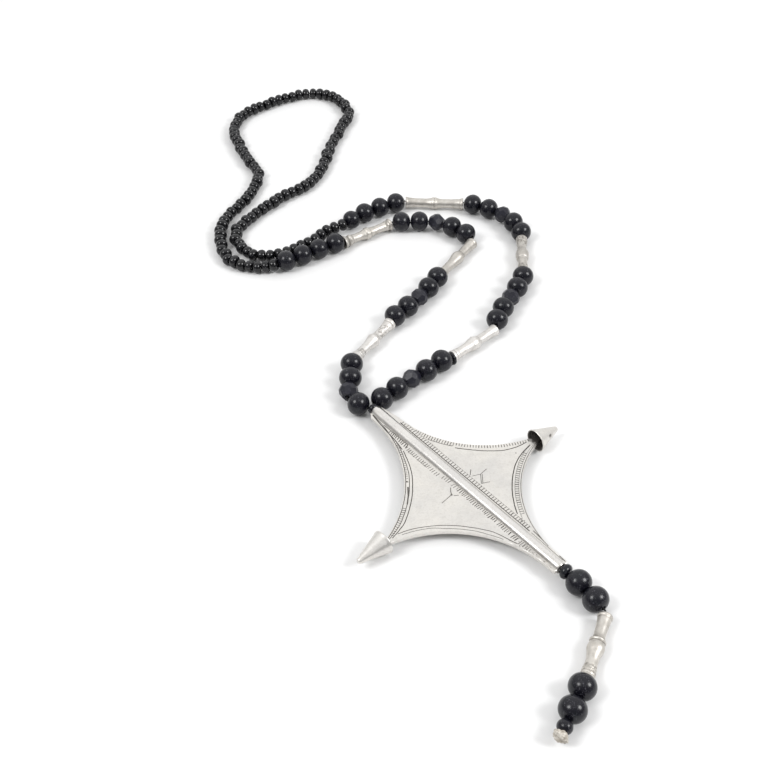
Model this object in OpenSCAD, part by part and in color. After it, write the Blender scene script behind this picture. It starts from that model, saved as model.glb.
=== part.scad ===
// Folk wedding necklace of silver and black beads, laid down as in the photograph.
// Two strands meet at the top of a four-pointed pendant, a short tail hangs from the pendant's foot
// and a loop of small black seed beads goes round the neck.
// Millimetres. The surface is z = 0, +X is right and +Y is away from the viewer.

/* [Round beads] */
// Width of a round bead across its middle
round_width = 8.0; // [7.8:0.05:8.0]
// Length of a round bead along its hole
round_length = 7.2; // [6.8:0.05:7.2]
// Width of the last, slightly smaller bead of the right strand
small_width = 7.4; // [6.8:0.1:7.4]
// Diameter of the hole through each bead
hole_width = 1.5; // [1.5:0.05:1.8]

/* [Faceted beads] */
// Width of a faceted bead across its flats
faceted_width = 6.4; // [5.8:0.1:6.6]
// Length of a faceted bead along its hole
faceted_length = 6.0; // [5.4:0.1:6.2]

/* [Silver tubes] */
// Radius of a silver tube at its waist
waist_radius = 1.87; // [1.7:0.01:1.9]
// Diameter of the channel through a silver tube
tube_bore = 2.6; // [1.6:0.1:2.8]

/* [Pendant] */
// Thickness of the star plate
plate_thickness = 1.4; // [1.0:0.1:1.8]
// Radius of the ridge tube at the top of the pendant
ridge_top_radius = 2.2; // [1.9:0.05:2.4]
// Radius of the ridge tube at the foot of the pendant
ridge_foot_radius = 1.9; // [1.7:0.05:2.2]
// Diameter of the channel through the ridge
ridge_bore = 2.4; // [2.2:0.1:2.6]
// Wall of the two cone caps
cone_wall = 0.55; // [0.4:0.05:0.8]

/* [Thread and seed strand] */
// Diameter of the beading thread
thread_width = 0.6; // [0.4:0.05:0.65]
// Diameter of the strand of seed beads
seed_width = 5.2; // [4.4:0.1:5.4]

/* [Hidden] */
$fn = 48;
// Clear space between two pieces on the thread
gap = 0.1;
// Height of the bead holes above the surface
axis_height = 4.0;
// Height of the thread, which lies low in the bead holes
thread_height = 3.68;
// Moves the whole necklace so that the middle of its outer box is at the origin
centring = [0.05, -0.08];
silver = [0.76, 0.75, 0.72];
jet = [0.04, 0.04, 0.045];
thread_black = [0.05, 0.05, 0.05];
knot_grey = [0.62, 0.58, 0.52];

// The ridge of the pendant: middle, direction from top to foot, and length
ridge_middle = [25.8, -85.2];
ridge_heading = -52.6;
ridge_length = 87.2;

// Pieces on the thread. Columns: kind, width, own length, radius of a flat end (0 where it is round),
// hole and whether the piece hangs from the thread by a wide hole
kinds = [
    ["round", round_width, round_length, 0, hole_width, false],
    ["small", small_width, 6.6, 0, hole_width, false],
    ["faceted", faceted_width, faceted_length, 1.7, hole_width, false],
    ["tube", 4.4, 22, 2.2, tube_bore, true],
    ["link", 3.9, 2.2, 0, 2.2, false],
    ["disc", 5.0, 1.2, 0, 3.2, true],
    ["rondelle", 4.8, 2.6, 0, hole_width, false],
    ["end", 4.5, 4.0, 0, hole_width, false],
    ["knot", 4.4, 2.4, 1.5, 0, false],
    ["thread", 0, 0, 0, 0, false],
];

// Strands, piece by piece. Columns: kind, direction in degrees, length where it isn't the kind's own
// and, for a hanging piece, how far it lies to the left of the thread
left_rows = [
    ["link", 120, 0],
    ["thread", 178, 1.3],
    ["round", 150, 0],
    ["faceted", 80, 0],
    ["round", 88, 0],
    ["round", 84, 0],
    ["tube", 55, 22.5, -0.7],
    ["round", 48, 0],
    ["round", 45, 0],
    ["faceted", 54, 0],
    ["round", 58, 0],
    ["round", 59, 0],
    ["tube", 55, 23.6, 0.3],
    ["thread", 55, 0.4],
    ["thread", 98, 2.1],
    ["round", 130, 0],
    ["round", 140, 0],
    ["faceted", 158, 0],
    ["round", 184, 0],
    ["round", 173, 0],
    ["tube", 211, 22.0, -0.15],
    ["round", 205, 0],
    ["round", 212, 0],
    ["round", 207, 0],
    ["round", 209, 0],
];
right_rows = [
    ["thread", 72, 1.5],
    ["round", 40, 0],
    ["round", 45, 0],
    ["faceted", 36, 0],
    ["round", 38, 0],
    ["round", 42, 0],
    ["disc", 42, 0, -0.65],
    ["tube", 40, 21.5, -0.4],
    ["round", 75, 0],
    ["round", 58, 0],
    ["faceted", 62, 0],
    ["round", 62, 0],
    ["round", 71, 0],
    ["tube", 85, 21.2, 0.7],
    ["round", 98, 0],
    ["round", 119, 0],
    ["faceted", 128, 0],
    ["round", 148, 0],
    ["round", 152, 0],
    ["tube", 173, 24.0, -0.3],
    ["round", 202, 0],
    ["round", 204, 0],
    ["round", 215, 0],
    ["small", 225, 0],
];
tail_rows = [
    ["rondelle", -44, 0],
    ["round", -56, 0],
    ["round", -60, 0],
    ["thread", -60, 0.7],
    ["thread", -95, 1.2],
    ["tube", -113, 21.5, 0],
    ["round", -118, 0],
    ["thread", -118, 0.3],
    ["round", -119, 0],
    ["end", -120, 0],
    ["knot", -126, 0],
];

// Route of the seed strand between the ends of the left and right strands. Columns: x, y
seed_route = [
    [-41, 35], [-49, 36], [-57, 41], [-61, 51], [-62, 62], [-59, 73], [-53, 84], [-49, 96],
    [-49, 104], [-53, 113], [-58, 126], [-62, 141], [-59, 154], [-51, 162], [-40, 169], [-27, 173],
    [-17, 169], [-11, 160], [-9, 151], [-13, 138], [-18, 120], [-21, 105], [-28, 92], [-38, 84],
    [-46, 75], [-54, 64], [-55, 54], [-48, 44], [-38, 43], [-26, 50], [-17, 58],
];
// Rings of the seed strand between two points of its route
seed_steps = 2;
// Straight start of the seed strand at each end
seed_lead = 0.6;

function heading(a) = [cos(a), sin(a)];
function kind_row(kind) = [for (row = kinds) if (row[0] == kind) row][0];
function piece_length(row) = row[2] > 0 ? row[2] : kind_row(row[0])[2];

// How much farther than its own end a piece stands back from a joint where the thread turns
function shoulder(row, half_turn) =
    let (kind = kind_row(row[0]), half = kind[2] / 2, ring = kind[1] / 2 - half)
    kind[3] > 0 ? kind[3] * tan(half_turn) : (half + ring * sin(half_turn)) / cos(half_turn) - half;

// Turn of the thread at the joint before piece i
function turn(rows, before, i) =
    i == 0 ? rows[0][1] - before : i == len(rows) ? 0 : rows[i][1] - rows[i - 1][1];

// Distance from a joint to piece i: side 0 is its start and side 1 its end
function setback(rows, before, i, side) =
    let (beside = rows[i + 2 * side - 1])
    rows[i][0] == "thread" ? 0
    : beside != undef && beside[0] == "thread" ? gap / 2
    : gap / 2 + shoulder(rows[i], abs(turn(rows, before, i + side)) / 2);

function reach(rows, before, i) =
    setback(rows, before, i, 0) + piece_length(rows[i]) + setback(rows, before, i, 1);

function joints(rows, start, before) =
    [for (i = 0, p = start; i <= len(rows);
          p = i < len(rows) ? p + heading(rows[i][1]) * reach(rows, before, i) : p, i = i + 1) p];

// The strands start at the ends of the ridge, and the right one beside the left where the thread forks
ridge_top = ridge_middle - heading(ridge_heading) * ridge_length / 2;
ridge_foot = ridge_middle + heading(ridge_heading) * ridge_length / 2;
up_heading = ridge_heading + 180;
left_start = ridge_top
    + heading(up_heading) * (gap / 2 + ridge_top_radius * tan((up_heading - left_rows[0][1]) / 2));
left_joints = joints(left_rows, left_start, up_heading);
// Half the distance between the two threads inside the ridge and the link bead
thread_side = 0.38;
fork = left_joints[1];
right_start = fork + heading(left_rows[0][1] - 90) * thread_side;
right_joints = joints(right_rows, right_start, right_rows[0][1]);
tail_start = ridge_foot + heading(ridge_heading) * (gap / 2 + ridge_foot_radius * tan(5));
tail_joints = joints(tail_rows, tail_start, ridge_heading);

// Each strand: its rows, its first joint, the direction before it and its joints
left = [left_rows, left_start, up_heading, left_joints];
right = [right_rows, right_start, right_rows[0][1], right_joints];
tail = [tail_rows, tail_start, ridge_heading, tail_joints];

// Height of a piece's hole: a hanging one drops until the top of its hole is a gap from the thread
function hole_height(row) =
    let (kind = kind_row(row[0]), play = (kind[4] - thread_width) / 2 - gap)
    kind[5] ? thread_height - sqrt(play * play - row[3] * row[3]) : axis_height;

// Lays a piece that is drawn along +Z from 0 along the thread at row i of a strand
module place(strand, i) {
    row = strand[0][i];
    aside = kind_row(row[0])[5] ? row[3] : 0;
    start = strand[3][i] + heading(row[1]) * setback(strand[0], strand[2], i, 0)
        + heading(row[1] + 90) * aside + centring;
    translate([start[0], start[1], hole_height(row)])
        rotate([0, 90, row[1]])
            children();
}

// A bead turned from an arc: a ball with a slightly short axis, or a ring where it is flat
module turned_bead(width, length, hole) {
    difference() {
        translate([0, 0, length / 2])
            rotate_extrude()
                intersection() {
                    translate([width / 2 - length / 2, 0])
                        circle(d = length);
                    translate([0, -length])
                        square([width, 2 * length]);
                }
        translate([0, 0, -1])
            cylinder(h = length + 2, d = hole);
    }
}

module kind_bead(strand, i) {
    kind = kind_row(strand[0][i][0]);
    place(strand, i)
        turned_bead(kind[1], kind[2], kind[4]);
}

// Faceted bead: an eight-sided band cut by eight slopes towards each end, turned half a facet
module faceted_bead(strand, i, spin) {
    half = faceted_length / 2;
    place(strand, i)
        rotate([0, 0, spin])
            difference() {
                intersection() {
                    cylinder(h = faceted_length, d = faceted_width / cos(22.5), $fn = 8);
                    rotate([0, 0, 22.5])
                        union() {
                            cylinder(h = half, r1 = 1.8, r2 = 4.0, $fn = 8);
                            translate([0, 0, half])
                                cylinder(h = half, r1 = 4.0, r2 = 1.8, $fn = 8);
                        }
                }
                translate([0, 0, -1])
                    cylinder(h = faceted_length + 2, d = hole_width, $fn = 24);
            }
}

// Outlines of the silver tubes. Columns: distance along the tube, radius
function ring_at(s, r, out) = [[s - 0.35, r], [s - 0.2, r + out], [s + 0.2, r + out], [s + 0.35, r]];
function node_at(s, half, out) = [
    [s - half, waist_radius],
    [s - 0.45 * half, waist_radius + 0.8 * out],
    [s, waist_radius + out],
    [s + 0.45 * half, waist_radius + 0.8 * out],
    [s + half, waist_radius],
];
left_tube_1 = concat([[0, 2.2]], ring_at(0.7, 2.1, 0.15), ring_at(1.7, 2.0, 0.15), [[4.5, waist_radius]],
    node_at(11.2, 3, 0.55), [[18, waist_radius]], ring_at(20.2, 2.0, 0.2), [[22.5, 2.2]]);
left_tube_2 = concat([[0, 2.1]], ring_at(1.5, 1.95, 0.2), [[4, waist_radius]], node_at(12.2, 3, 0.6),
    [[19.5, waist_radius], [23.6, 2.0]]);
left_tube_3 = concat([[0, 2.6], [0.5, 2.6], [0.7, 2.15]], ring_at(2.0, 2.05, 0.15),
    [[4, 1.9], [8, waist_radius]], ring_at(10.5, 2.15, 0.25), ring_at(11.5, 2.15, 0.25),
    [[14, waist_radius], [17.5, 1.9]],
    ring_at(19.2, 2.0, 0.15), ring_at(20.2, 2.05, 0.15), [[21.3, 2.15], [21.5, 2.6], [22, 2.6]]);
right_tube_1 = concat([[0, 2.2]], ring_at(0.7, 2.1, 0.2), ring_at(1.6, 2.05, 0.2), ring_at(2.5, 2.0, 0.2),
    [[5, waist_radius], [8, waist_radius], [9.6, 2.2]], ring_at(10.6, 2.3, 0.15),
    [[11.6, 2.2], [13.2, waist_radius], [18, waist_radius], [21.5, 2.2]]);
right_tube_2 = concat([[0, 2.25]], ring_at(0.6, 2.2, 0.15), ring_at(2.6, 2.0, 0.15), [[5, waist_radius]],
    node_at(10.6, 3, 0.75), [[16.4, waist_radius]], ring_at(18.6, 2.0, 0.15), ring_at(20.6, 2.2, 0.15),
    [[21.2, 2.25]]);
right_tube_3 = [[0, 2.3], [0.6, 2.2], [3.5, 1.92], [8.5, waist_radius], [10.6, 2.3], [11.8, 2.55],
    [11.9, 2.45], [12.1, 2.45], [12.2, 2.55], [13.4, 2.3], [15.5, waist_radius], [20.5, 1.92], [23.4, 2.2],
    [24, 2.3]];
tail_tube = concat([[0, 2.15], [0.5, 2.35], [0.9, 2.1], [3, 1.9], [7.8, waist_radius]], ring_at(9, 2.0, 0.25),
    [[9.8, 2.1], [11, 2.4], [12.2, 2.35], [14.4, waist_radius], [18, 1.9]],
    ring_at(19.2, 2.0, 0.15), ring_at(20.8, 2.15, 0.15), [[21.5, 2.2]]);

module silver_tube(strand, i, side) {
    length = side[len(side) - 1][0];
    place(strand, i)
        difference() {
            rotate_extrude()
                polygon(concat([[0, 0]], [for (p = side) [p[1], p[0]]], [[0, length]]));
            translate([0, 0, -1])
                cylinder(h = length + 2, d = tube_bore);
        }
}

// Star plate. Its outline is what four round cuts leave of a straight-sided blank.
// Columns: x along the ridge, y across it, radius of the cut
plate_cuts = [
    [-36, 41, 37.3],
    [39.5, 41, 38.2],
    [40.5, -40, 37.2],
    [-41.5, -50.3, 47],
];
plate_blank = [[-43.5, -2.4], [-43.5, 2.4], [-35, 3.9], [-10, 39], [10, 39], [43.5, 2.4],
    [43.5, -2.4], [10, -37], [-10, -37]];
// Cone caps. Columns: x and y of the rim's centre, x and y of the tip, hollow depth
cone_radius = 4.0;
tip_radius = 0.8;
cones = [
    [1.2, 31, 1.7, 40.4, 6.4],
    [2.0, -33.4, 3.0, -44.1, 7.4],
];
// The plate's two side corners end in narrow tongues inside the cones. Columns: x, y low, y high
tongues = [
    [1.4, 30, 38.2],
    [2.75, -41.4, -31],
];
tongue_width = 1.2;

module cone_cap(row) {
    length = norm([row[2] - row[0], row[3] - row[1]]);
    slope = (cone_radius - tip_radius) / length;
    translate([row[0], row[1], 0])
        rotate([0, 90, atan2(row[3] - row[1], row[2] - row[0])])
            rotate_extrude()
                polygon([
                    [cone_radius - cone_wall, 0],
                    [cone_radius, 0],
                    [tip_radius + 0.1, length - 0.4],
                    [0.45, length],
                    [0, length],
                    [0, row[4]],
                    [cone_radius - slope * row[4] - 1.4 * cone_wall, row[4]],
                ]);
}

module ridge_shape() {
    rotate([0, 90, 0])
        cylinder(h = ridge_length, r1 = ridge_top_radius, r2 = ridge_foot_radius, center = true);
}

module plate_shape() {
    difference() {
        translate([0, 0, -plate_thickness / 2])
            linear_extrude(plate_thickness)
                polygon(plate_blank);
        for (cut = plate_cuts)
            translate([cut[0], cut[1], -plate_thickness])
                cylinder(h = 2 * plate_thickness, r = cut[2], $fn = 160);
    }
    for (row = tongues)
        translate([row[0] - tongue_width / 2, row[1], -plate_thickness / 2])
            cube([tongue_width, row[2] - row[1], plate_thickness]);
}

// Rings of a swept tube, each square to the route
function unit(v) = v / norm(v);
function tangent(path, i) =
    unit((i > 0 ? unit(path[i] - path[i - 1]) : [0, 0, 0])
        + (i < len(path) - 1 ? unit(path[i + 1] - path[i]) : [0, 0, 0]));
function sweep_ring(path, i, radius, sides) =
    let (t = tangent(path, i), n = unit([-t[1], t[0], 0]), b = cross(t, n))
    [for (k = [0 : sides - 1]) path[i] + radius * (cos(360 * k / sides) * n + sin(360 * k / sides) * b)];

module sweep(path, radius, sides) {
    count = len(path);
    points = [for (i = [0 : count - 1]) for (p = sweep_ring(path, i, radius, sides)) p];
    walls = [for (i = [0 : count - 2]) for (k = [0 : sides - 1])
        let (a = i * sides + k, b = i * sides + (k + 1) % sides)
        for (face = [[a, a + sides, b + sides], [a, b + sides, b]]) face];
    first = [for (k = [0 : sides - 1]) k];
    last = [for (k = [sides - 1 : -1 : 0]) (count - 1) * sides + k];
    translate([centring[0], centring[1], 0])
        polyhedron(points = points, faces = concat([first], walls, [last]));
}

function at_thread(p) = [p[0], p[1], thread_height];
function backwards(list) = [for (i = [len(list) - 1 : -1 : 0]) list[i]];
function from_to(list, a, b) = [for (i = [a : b]) list[i]];
function beside_ridge(distance, side) =
    ridge_top + heading(ridge_heading) * distance + heading(ridge_heading + 90) * side;

// Left thread: from the seed strand down the left strand, through the link bead and the ridge, to the knot
left_end = left_joints[len(left_rows)];
right_end = right_joints[len(right_rows)];
left_last = left_rows[len(left_rows) - 1][1];
right_last = right_rows[len(right_rows) - 1][1];
left_thread = concat(
    [left_end - heading(left_last) * gap / 2],
    backwards(from_to(left_joints, 2, len(left_rows) - 1)),
    [fork + heading(left_rows[0][1] + 90) * thread_side],
    [beside_ridge(1, -thread_side), beside_ridge(ridge_length - 8, 0)],
    from_to(tail_joints, 0, len(tail_rows) - 2),
    [tail_joints[len(tail_rows) - 1] - heading(tail_rows[len(tail_rows) - 1][1]) * gap / 2]
);
// Right thread: from the seed strand down the right strand and into the ridge beside the other
right_thread = concat(
    [right_end - heading(right_last) * gap / 2],
    backwards(from_to(right_joints, 0, len(right_rows) - 1)),
    [beside_ridge(1, thread_side), beside_ridge(8, thread_side)]
);

// Centre line of the seed strand: a smooth curve through its route, at bead height at its two ends
seed_points = concat([left_end + heading(left_last) * seed_lead], seed_route,
    [right_end + heading(right_last) * seed_lead]);
seed_last = len(seed_points) - 1;
function seed_slope(i) =
    i == 0 ? 0.8 * norm(seed_points[1] - seed_points[0]) * heading(left_last)
    : i == seed_last ? -0.8 * norm(seed_points[i] - seed_points[i - 1]) * heading(right_last)
    : (seed_points[i + 1] - seed_points[i - 1]) / 2;
function seed_plan(i, t) =
    (2 * t * t * t - 3 * t * t + 1) * seed_points[i] + (t * t * t - 2 * t * t + t) * seed_slope(i)
    + (3 * t * t - 2 * t * t * t) * seed_points[i + 1] + (t * t * t - t * t) * seed_slope(i + 1);
function seed_height(u) =
    let (x = min(1, min(u, seed_last - u) / 1.7), rise = axis_height - seed_width / 2)
    seed_width / 2 + rise * (1 - 3 * x * x + 2 * x * x * x);
function seed_point(u) =
    let (i = min(seed_last - 1, floor(u)), p = seed_plan(i, u - i))
    [p[0], p[1], seed_height(u)];
function seed_end(p) = [p[0], p[1], axis_height];
seed_path = concat(
    [seed_end(left_end + heading(left_last) * gap / 2)],
    [for (k = [0 : seed_last * seed_steps]) seed_point(k / seed_steps)],
    [seed_end(right_end + heading(right_last) * gap / 2)]
);

module round_bead_01() color(jet) kind_bead(left, 2);
module round_bead_02() color(jet) kind_bead(left, 4);
module round_bead_03() color(jet) kind_bead(left, 5);
module round_bead_04() color(jet) kind_bead(left, 7);
module round_bead_05() color(jet) kind_bead(left, 8);
module round_bead_06() color(jet) kind_bead(left, 10);
module round_bead_07() color(jet) kind_bead(left, 11);
module round_bead_08() color(jet) kind_bead(left, 15);
module round_bead_09() color(jet) kind_bead(left, 16);
module round_bead_10() color(jet) kind_bead(left, 18);
module round_bead_11() color(jet) kind_bead(left, 19);
module round_bead_12() color(jet) kind_bead(left, 21);
module round_bead_13() color(jet) kind_bead(left, 22);
module round_bead_14() color(jet) kind_bead(left, 23);
module round_bead_15() color(jet) kind_bead(left, 24);
module round_bead_16() color(jet) kind_bead(right, 1);
module round_bead_17() color(jet) kind_bead(right, 2);
module round_bead_18() color(jet) kind_bead(right, 4);
module round_bead_19() color(jet) kind_bead(right, 5);
module round_bead_20() color(jet) kind_bead(right, 8);
module round_bead_21() color(jet) kind_bead(right, 9);
module round_bead_22() color(jet) kind_bead(right, 11);
module round_bead_23() color(jet) kind_bead(right, 12);
module round_bead_24() color(jet) kind_bead(right, 14);
module round_bead_25() color(jet) kind_bead(right, 15);
module round_bead_26() color(jet) kind_bead(right, 17);
module round_bead_27() color(jet) kind_bead(right, 18);
module round_bead_28() color(jet) kind_bead(right, 20);
module round_bead_29() color(jet) kind_bead(right, 21);
module round_bead_30() color(jet) kind_bead(right, 22);
module round_bead_31() color(jet) kind_bead(right, 23);
module round_bead_32() color(jet) kind_bead(tail, 1);
module round_bead_33() color(jet) kind_bead(tail, 2);
module round_bead_34() color(jet) kind_bead(tail, 6);
module round_bead_35() color(jet) kind_bead(tail, 8);

module silver_tube_01() color(silver) silver_tube(left, 6, left_tube_1);
module silver_tube_02() color(silver) silver_tube(left, 12, left_tube_2);
module silver_tube_03() color(silver) silver_tube(left, 20, left_tube_3);
module silver_tube_04() color(silver) silver_tube(right, 7, right_tube_1);
module silver_tube_05() color(silver) silver_tube(right, 13, right_tube_2);
module silver_tube_06() color(silver) silver_tube(right, 19, right_tube_3);
module silver_tube_07() color(silver) silver_tube(tail, 5, tail_tube);

module faceted_beads() color(jet) {
    faceted_bead(left, 3, 5);
    faceted_bead(left, 9, 15);
    faceted_bead(left, 17, 0);
    faceted_bead(right, 3, 10);
    faceted_bead(right, 10, 20);
    faceted_bead(right, 16, 8);
}

module spacer_beads() color(jet) {
    kind_bead(left, 0);
    kind_bead(right, 6);
    kind_bead(tail, 0);
    kind_bead(tail, 9);
}

// Plate, ridge tube and cones are soldered in one. They are laid at the height of the bead holes.
module pendant() color(silver)
    translate([ridge_middle[0] + centring[0], ridge_middle[1] + centring[1], axis_height])
        rotate([0, 0, ridge_heading])
            difference() {
                union() {
                    plate_shape();
                    ridge_shape();
                    for (row = cones)
                        cone_cap(row);
                }
                rotate([0, 90, 0])
                    cylinder(h = ridge_length + 2, d = ridge_bore, center = true);
            }

module thread() color(thread_black) {
    sweep([for (p = left_thread) at_thread(p)], thread_width / 2, 8);
    sweep([for (p = right_thread) at_thread(p)], thread_width / 2, 8);
}

module seed_strand() color(jet) sweep(seed_path, seed_width / 2, 12);

// Knot that stops the tail: a short lump, wide against the last bead
module knot() color(knot_grey)
    place(tail, 10)
        rotate_extrude()
            polygon([[0, 0], [1.7, 0], [2.2, 0.5], [2.0, 1.2], [1.2, 2.1], [0.5, 2.4], [0, 2.4]]);

round_bead_01();
round_bead_02();
round_bead_03();
round_bead_04();
round_bead_05();
round_bead_06();
round_bead_07();
round_bead_08();
round_bead_09();
round_bead_10();
round_bead_11();
round_bead_12();
round_bead_13();
round_bead_14();
round_bead_15();
round_bead_16();
round_bead_17();
round_bead_18();
round_bead_19();
round_bead_20();
round_bead_21();
round_bead_22();
round_bead_23();
round_bead_24();
round_bead_25();
round_bead_26();
round_bead_27();
round_bead_28();
round_bead_29();
round_bead_30();
round_bead_31();
round_bead_32();
round_bead_33();
round_bead_34();
round_bead_35();
silver_tube_01();
silver_tube_02();
silver_tube_03();
silver_tube_04();
silver_tube_05();
silver_tube_06();
silver_tube_07();
faceted_beads();
spacer_beads();
pendant();
thread();
seed_strand();
knot();
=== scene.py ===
import math
import random

import bmesh
import bpy
import numpy as np
from mathutils import Matrix, Vector, geometry


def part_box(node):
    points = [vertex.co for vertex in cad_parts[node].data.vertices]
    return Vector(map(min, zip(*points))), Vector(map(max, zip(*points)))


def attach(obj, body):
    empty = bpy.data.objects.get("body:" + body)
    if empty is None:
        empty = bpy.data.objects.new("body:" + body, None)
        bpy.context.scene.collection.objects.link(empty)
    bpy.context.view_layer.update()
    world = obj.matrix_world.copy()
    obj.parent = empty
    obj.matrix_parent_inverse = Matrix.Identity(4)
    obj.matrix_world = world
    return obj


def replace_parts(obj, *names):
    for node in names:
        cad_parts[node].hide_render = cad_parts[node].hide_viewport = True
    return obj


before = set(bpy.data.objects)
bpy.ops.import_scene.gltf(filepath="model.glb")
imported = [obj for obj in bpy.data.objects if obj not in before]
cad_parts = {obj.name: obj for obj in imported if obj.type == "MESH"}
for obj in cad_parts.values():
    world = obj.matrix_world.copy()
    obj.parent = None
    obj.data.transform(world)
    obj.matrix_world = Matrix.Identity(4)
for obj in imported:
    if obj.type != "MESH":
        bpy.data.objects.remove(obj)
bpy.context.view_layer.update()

MM = 0.001
SEED = 7  # every random draw starts from this number or a few above it
AXIS_Z = 4.0  # height of the bead holes
SHIFT = np.array([0.05, -0.08])  # the source's centring
GAP = 0.1  # between strung pieces


# ---------------------------------------------------------------- camera, lights and floor
CAMERA_LENS, CAMERA_FILM = 53.44, 36.0
CAMERA_PLACE = (2.55, -327.08, 272.42)
CAMERA_RIGHT = (0.99917, -0.02762, -0.02983)
CAMERA_UP = (0.04066, 0.67884, 0.73316)
CAMERA_BACK = (0.0, -0.73376, 0.67941)
# Disc lights that face the origin. Each: name, place in metres and watts
LIGHTS = [("key_right", (1.00, -0.42, 0.88), 11.0), ("fill_left", (-0.82, -0.41, 1.07), 8.5)]
LIGHT_WIDTH = 0.56
# The room is brighter above and behind the necklace than behind the camera: ROOM_STRENGTH spans the light of
# directions whose lean towards ROOM_TOP spans ROOM_LEAN
ROOM_TOP = (0.0, 0.62, 0.78)
ROOM_LEAN, ROOM_STRENGTH = (-0.05, 1.0), (0.30, 1.14)
FLOOR_HALF, FLOOR_DROP, FLOOR_GREY = 3.0, 0.00003, 0.785


def add_object(name, data):
    ob = bpy.data.objects.new(name, data)
    bpy.context.scene.collection.objects.link(ob)
    return ob


def make_camera():
    data = bpy.data.cameras.new("camera")
    data.sensor_width = CAMERA_FILM
    data.lens = CAMERA_LENS
    data.clip_start = 0.01
    data.clip_end = 20.0
    cam = add_object("camera", data)
    m = Matrix((CAMERA_RIGHT, CAMERA_UP, CAMERA_BACK)).transposed().to_4x4()
    m.translation = Vector(CAMERA_PLACE) * MM
    cam.matrix_world = m
    bpy.context.scene.camera = cam


def make_light(name, place, power):
    data = bpy.data.lights.new(name, "AREA")
    data.shape = "DISK"
    data.size = LIGHT_WIDTH
    data.energy = power
    light = add_object(name, data)
    light.location = place
    light.rotation_euler = (-Vector(place)).to_track_quat("-Z", "Y").to_euler()


def make_world():
    world = bpy.data.worlds.new("studio")
    bpy.context.scene.world = world
    world.use_nodes = True
    nt = world.node_tree
    tex = nt.nodes.new("ShaderNodeTexCoord")
    lean = nt.nodes.new("ShaderNodeVectorMath")
    lean.operation = "DOT_PRODUCT"
    lean.inputs[1].default_value = ROOM_TOP
    nt.links.new(tex.outputs["Generated"], lean.inputs[0])
    level = nt.nodes.new("ShaderNodeMapRange")
    level.interpolation_type = "SMOOTHSTEP"
    level.inputs["From Min"].default_value, level.inputs["From Max"].default_value = ROOM_LEAN
    level.inputs["To Min"].default_value, level.inputs["To Max"].default_value = ROOM_STRENGTH
    nt.links.new(lean.outputs["Value"], level.inputs["Value"])
    background = nt.nodes["Background"]
    background.inputs["Color"].default_value = (1.0, 1.0, 1.0, 1.0)
    nt.links.new(level.outputs["Result"], background.inputs["Strength"])


def make_floor():
    h = FLOOR_HALF
    mesh = bpy.data.meshes.new("floor")
    mesh.from_pydata([(-h, -h, 0), (h, -h, 0), (h, h, 0), (-h, h, 0)], [], [(0, 1, 2, 3)])
    floor = add_object("floor", mesh)
    floor.location.z = -FLOOR_DROP
    mat, _, bsdf = new_material("floor_white")
    bsdf.inputs["Base Color"].default_value = (FLOOR_GREY, FLOOR_GREY, FLOOR_GREY, 1)
    bsdf.inputs["Roughness"].default_value = 0.75
    bsdf.inputs["Specular IOR Level"].default_value = 0.15
    mesh.materials.append(mat)


def make_stage():
    bpy.context.scene.view_settings.view_transform = "Standard"
    make_world()
    for row in LIGHTS:
        make_light(*row)
    make_floor()


# ---------------------------------------------------------------- materials
def new_material(name):
    mat = bpy.data.materials.new(name)
    mat.use_nodes = True
    nt = mat.node_tree
    return mat, nt, nt.nodes["Principled BSDF"]


def coords(nt, scale=(1, 1, 1)):
    """Places on the object, stretched by scale, for textures that stay on the surface."""
    tex = nt.nodes.new("ShaderNodeTexCoord")
    mapping = nt.nodes.new("ShaderNodeMapping")
    mapping.inputs["Scale"].default_value = scale
    nt.links.new(tex.outputs["Object"], mapping.inputs["Vector"])
    return mapping.outputs["Vector"]


def noise(nt, vector, scale, detail, rough):
    n = nt.nodes.new("ShaderNodeTexNoise")
    n.inputs["Scale"].default_value = scale
    n.inputs["Detail"].default_value = detail
    n.inputs["Roughness"].default_value = rough
    nt.links.new(vector, n.inputs["Vector"])
    return n.outputs["Fac"]


def ramp(nt, fac, stops):
    """Colour by fac, from stops of (position, colour)."""
    r = nt.nodes.new("ShaderNodeValToRGB")
    el = r.color_ramp.elements
    el[0].position, el[0].color = stops[0][0], (*stops[0][1], 1)
    el[1].position, el[1].color = stops[-1][0], (*stops[-1][1], 1)
    for pos, col in stops[1:-1]:
        e = el.new(pos)
        e.color = (*col, 1)
    nt.links.new(fac, r.inputs["Fac"])
    return r.outputs["Color"]


def spread(nt, fac, low, high):
    """Fac from 0 to 1 spread over low to high."""
    m = nt.nodes.new("ShaderNodeMapRange")
    m.inputs["To Min"].default_value = low
    m.inputs["To Max"].default_value = high
    nt.links.new(fac, m.inputs["Value"])
    return m.outputs["Result"]


def bump(nt, height, strength, distance, under=None):
    """Normals of a bumped skin, over those of an under layer where there is one."""
    b = nt.nodes.new("ShaderNodeBump")
    b.inputs["Strength"].default_value = strength
    b.inputs["Distance"].default_value = distance
    nt.links.new(height, b.inputs["Height"])
    if under is not None:
        nt.links.new(under, b.inputs["Normal"])
    return b.outputs["Normal"]


def mix(nt, fac, a, b):
    m = nt.nodes.new("ShaderNodeMix")
    m.data_type = "RGBA"
    nt.links.new(fac, m.inputs["Factor"])
    for sock, value in ((m.inputs["A"], a), (m.inputs["B"], b)):
        if isinstance(value, tuple):
            sock.default_value = (*value, 1)
        else:
            nt.links.new(value, sock)
    return m.outputs["Result"]


NONE, FULL = (0.0, 0.0, 0.0), (1.0, 1.0, 1.0)
DUST = (0.062, 0.062, 0.072)
SPECK, STAIN = (0.40, 0.37, 0.33), (0.36, 0.33, 0.29)


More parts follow.
